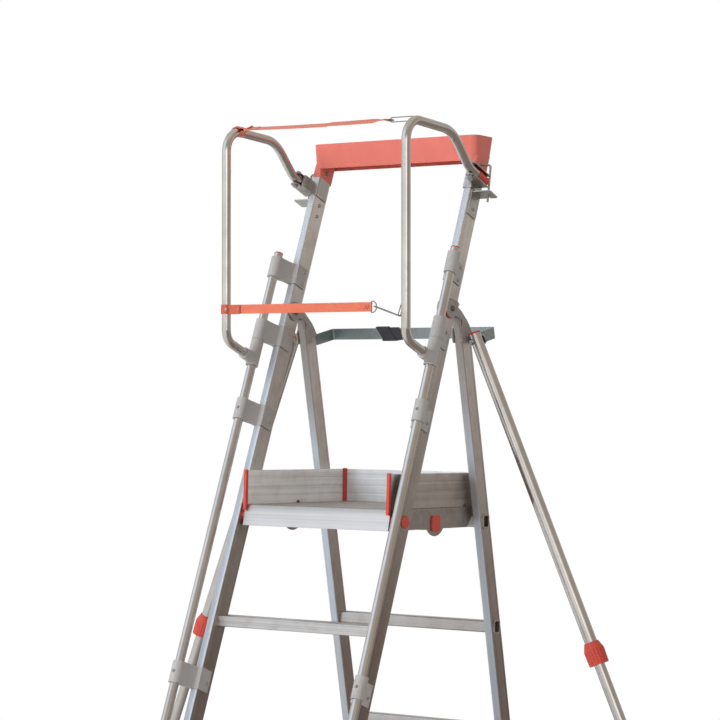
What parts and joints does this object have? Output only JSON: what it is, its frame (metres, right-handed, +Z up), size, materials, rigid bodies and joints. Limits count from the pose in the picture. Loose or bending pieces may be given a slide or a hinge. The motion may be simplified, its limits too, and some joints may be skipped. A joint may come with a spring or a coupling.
{
  "type": "folding ladder",
  "caption": "Folding platform ladder with a hinged rear frame, guard rails, webbing straps, a tool tray and telescopic side outriggers.",
  "frame": {"origin": "on the floor, under the middle of the opened ladder's box", "axes": "+X to the climber's right, +Y from the climbing side to the rear, +Z up"},
  "size_m": [1.9992, 1.1574, 2.193],
  "materials": {
    "aluminium": "mill-finished extrusion",
    "tube": "satin drawn tube",
    "zinc": "galvanised",
    "grey_plastic": "moulded, matt",
    "red_plastic": "moulded, satin",
    "rubber": "matt",
    "orange_webbing": "woven webbing",
    "black_fabric": "woven tie"
  },
  "bodies": {
    "front_frame": {"left_stile": "aluminium", "right_stile": "aluminium", "lower_step": "aluminium", "middle_step": "aluminium", "upper_step": "aluminium", "front_feet": "rubber", "platform_pivot_tube": "tube", "platform_pivot_plugs": "red_plastic", "pivot_washers": "red_plastic", "left_handrail": "tube", "right_handrail": "tube", "handrail_caps": "red_plastic", "handrail_clips": "grey_plastic", "clip_screws": "zinc", "tool_tray": "red_plastic", "left_rail_channel": "aluminium", "right_rail_channel": "aluminium", "rail_pivot_bolts": "zinc", "left_latch_bracket": "zinc", "right_latch_bracket": "zinc", "latch_fasteners": "zinc", "hinge_bolts": "zinc"},
    "left_lock_rod": {"left_lock_rod": "zinc"},
    "right_lock_rod": {"right_lock_rod": "zinc"},
    "left_guard_rail": {"left_guard_rail": "tube", "left_rail_sleeve": "red_plastic", "left_swivel_collar": "grey_plastic", "upper_strap": "orange_webbing", "lower_strap": "orange_webbing"},
    "right_guard_rail": {"right_guard_rail": "tube", "right_rail_sleeve": "red_plastic", "right_swivel_collar": "grey_plastic", "strap_rings": "zinc", "strap_hooks": "zinc"},
    "upper_gate": {"upper_hook_gate": "zinc"},
    "lower_gate": {"lower_hook_gate": "zinc"},
    "rear_frame": {"left_rear_leg": "aluminium", "right_rear_leg": "aluminium", "rear_rungs": "aluminium", "rear_feet": "rubber", "left_hinge_fork": "grey_plastic", "right_hinge_fork": "grey_plastic", "stow_carrier": "zinc", "carrier_tie": "black_fabric", "rear_bolts": "zinc"},
    "platform": {"platform_pan": "aluminium", "platform_cross_tube": "aluminium", "cross_tube_plugs": "red_plastic", "left_toe_board": "aluminium", "right_toe_board": "aluminium", "rear_toe_board": "aluminium", "toe_board_corners": "red_plastic"},
    "left_outrigger": {"left_outrigger_tube": "tube"},
    "right_outrigger": {"right_outrigger_tube": "tube"},
    "left_collar": {"left_lock_collar": "red_plastic"},
    "right_collar": {"right_lock_collar": "red_plastic"},
    "left_extension": {"left_outrigger_leg": "tube", "left_outrigger_pad": "rubber"},
    "right_extension": {"right_outrigger_leg": "tube", "right_outrigger_pad": "rubber"}
  },
  "joints": [
    {"name": "rear_fold", "type": "hinge", "parent": "front_frame", "child": "rear_frame", "pos_m": [0, 0.10158, 1.6917], "axis": [-1, 0, 0], "range_deg": [0, 33.5]},
    {"name": "platform_fold", "type": "hinge", "parent": "front_frame", "child": "platform", "pos_m": [0, -0.11601, 1.121], "axis": [1, 0, 0], "range_deg": [0, 69.1]},
    {"name": "left_guard_swing", "type": "hinge", "parent": "front_frame", "child": "left_guard_rail", "pos_m": [-0.292, 0.16829, 2.07243], "axis": [0, 0.3562, 0.9344], "range_deg": [0, 33], "deforming": ["upper_strap", "lower_strap"]},
    {"name": "right_guard_swing", "type": "hinge", "parent": "front_frame", "child": "right_guard_rail", "pos_m": [0.292, 0.16829, 2.07243], "axis": [0, -0.3562, -0.9344], "range_deg": [0, 33], "deforming": ["upper_strap", "lower_strap"]},
    {"name": "upper_gate_press", "type": "hinge", "parent": "right_guard_rail", "child": "upper_gate", "pos_m": [0.2457, -0.09201, 2.1795], "axis": [0, -1, 0], "range_deg": [0, 22], "stiffness_Nm_per_rad": 0.02, "springref_deg": -11.46},
    {"name": "lower_gate_press", "type": "hinge", "parent": "right_guard_rail", "child": "lower_gate", "pos_m": [0.24664, -0.15205, 1.66882], "axis": [-0.3162, 0, -0.9487], "range_deg": [0, 22], "stiffness_Nm_per_rad": 0.02, "springref_deg": -11.46},
    {"name": "left_rod_swing", "type": "hinge", "parent": "front_frame", "child": "left_lock_rod", "pos_m": [-0.301, 0.2529, 2.09422], "axis": [1, 0, 0], "range_deg": [0, 85]},
    {"name": "right_rod_swing", "type": "hinge", "parent": "front_frame", "child": "right_lock_rod", "pos_m": [0.301, 0.2529, 2.09422], "axis": [1, 0, 0], "range_deg": [0, 85]},
    {"name": "left_outrigger_fold", "type": "hinge", "parent": "rear_frame", "child": "left_outrigger", "pos_m": [-0.307, 0.18124, 1.60646], "axis": [0.351, -0.9135, -0.2056], "range_deg": [0, 24]},
    {"name": "left_collar_twist", "type": "hinge", "parent": "left_outrigger", "child": "left_collar", "pos_m": [-0.307, 0.18124, 1.60646], "axis": [-0.3818, 0.0609, -0.9222], "range_deg": [0, 90]},
    {"name": "left_leg_slide", "type": "slide", "parent": "left_outrigger", "child": "left_extension", "axis": [0.3818, -0.0609, 0.9222], "range_m": [0, 0.5]},
    {"name": "right_outrigger_fold", "type": "hinge", "parent": "rear_frame", "child": "right_outrigger", "pos_m": [0.307, 0.18124, 1.60646], "axis": [0.351, 0.9135, 0.2056], "range_deg": [0, 24]},
    {"name": "right_collar_twist", "type": "hinge", "parent": "right_outrigger", "child": "right_collar", "pos_m": [0.307, 0.18124, 1.60646], "axis": [0.3818, 0.0609, -0.9222], "range_deg": [0, 90]},
    {"name": "right_leg_slide", "type": "slide", "parent": "right_outrigger", "child": "right_extension", "axis": [-0.3818, -0.0609, 0.9222], "range_m": [0, 0.5]}
  ],
  "couplings": [
    {"joint": "platform_fold", "follows": "rear_fold", "ratio": 2.06}
  ]
}
